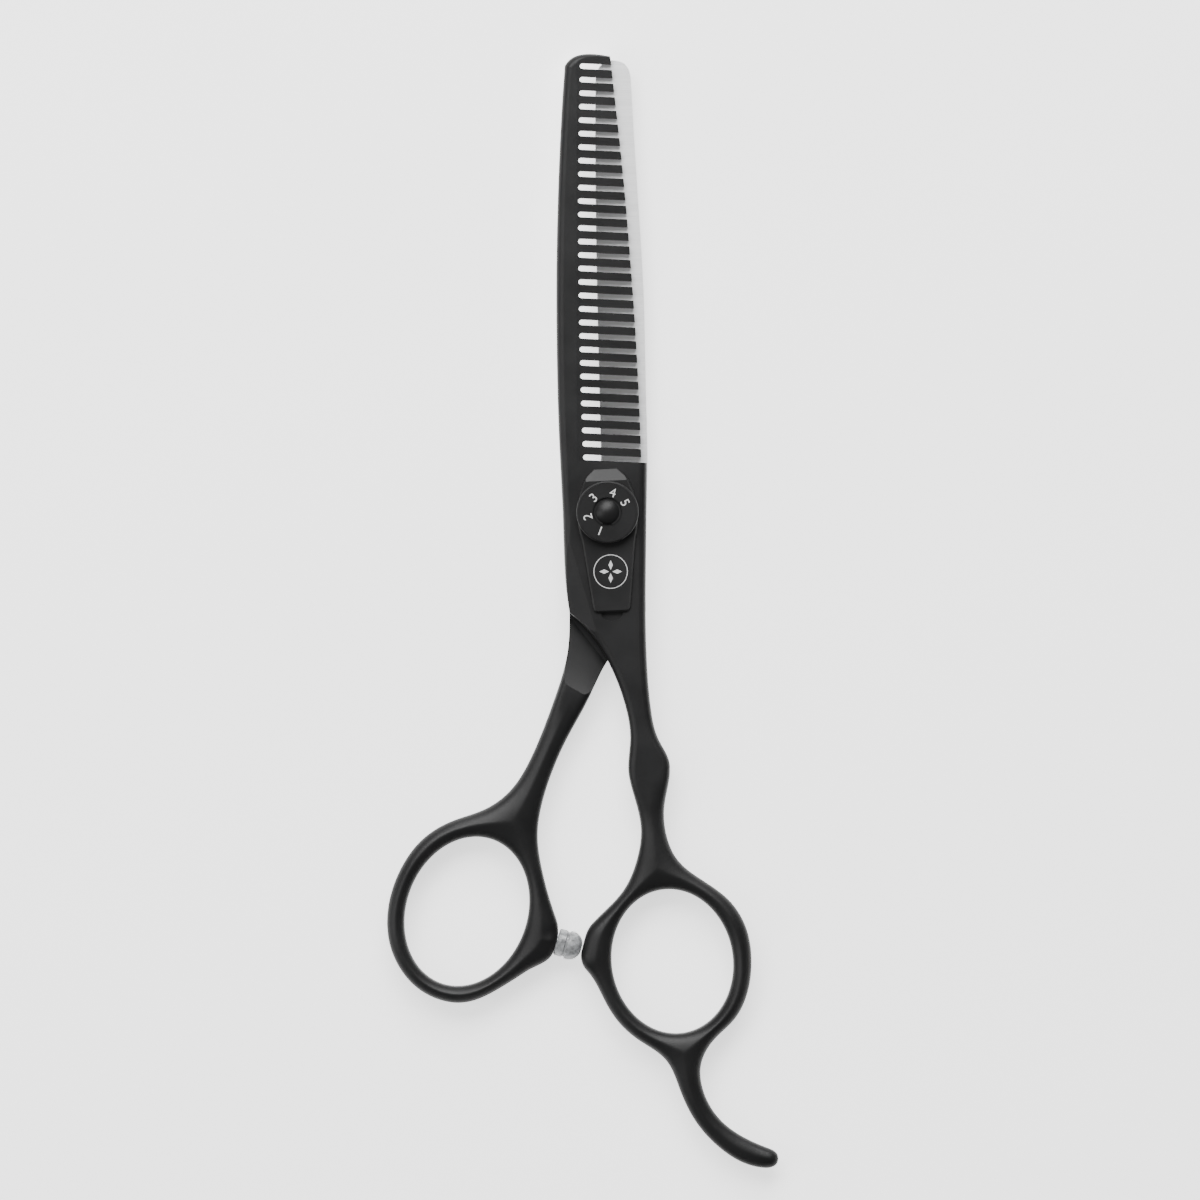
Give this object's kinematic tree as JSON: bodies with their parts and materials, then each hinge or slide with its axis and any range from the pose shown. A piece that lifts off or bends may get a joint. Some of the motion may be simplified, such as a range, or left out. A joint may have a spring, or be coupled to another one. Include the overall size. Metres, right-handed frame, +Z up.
{
  "type": "hair thinning shears",
  "caption": "Hair cutting (thinning) shears: comb blade over straight blade, offset finger rings, fixed finger rest, tension dial and bumper.",
  "frame": {"origin": "on the pivot axis, at the flat back of the pivot bolt's head, which is the resting plane", "axes": "+Y from the pivot to the blade tips, +X to the finger-ring side, +Z up through the tension dial"},
  "size_m": [0.0601, 0.1708, 0.0079],
  "materials": {
    "coated_steel": "satin black coating",
    "bare_steel": "polished",
    "washer_steel": "ground",
    "bearing_bronze": "machined",
    "slip_plastic": "smooth",
    "bumper_rubber": "clear soft plastic"
  },
  "bodies": {
    "comb_half": {"comb_blade": "coated_steel", "finger_bow": "coated_steel", "pivot_bolt": "coated_steel", "tension_plate": "coated_steel", "plate_pin": "washer_steel", "detent_ball": "washer_steel", "detent_spring": "washer_steel", "retaining_ring": "washer_steel", "blade_washer": "slip_plastic", "spring_washer": "washer_steel"},
    "straight_half": {"straight_blade": "bare_steel", "thumb_bow": "coated_steel", "pivot_bush": "bearing_bronze", "head_washer": "slip_plastic", "bumper": "bumper_rubber", "bumper_collar": "bumper_rubber", "bumper_stud": "washer_steel"},
    "dial_carrier": {"dial_washer": "slip_plastic"},
    "dial": {"tension_dial": "coated_steel", "dial_face": "coated_steel"}
  },
  "joints": [
    {"name": "blade_pivot", "type": "hinge", "parent": "comb_half", "child": "straight_half", "pos_m": [0, 0, 0.0029], "axis": [0, 0, -1], "range_deg": [0, 120]},
    {"name": "dial_travel", "type": "slide", "parent": "comb_half", "child": "dial_carrier", "axis": [0, 0, 1], "range_m": [-0.000138, 0.000138], "deforming": ["spring_washer"]},
    {"name": "dial_turn", "type": "hinge", "parent": "dial_carrier", "child": "dial", "pos_m": [0, 0, 0.0069], "axis": [0, 0, 1], "range_deg": [-100, 100]}
  ],
  "couplings": [
    {"joint": "dial_turn", "follows": "dial_travel", "rad_per_m": 12566}
  ]
}
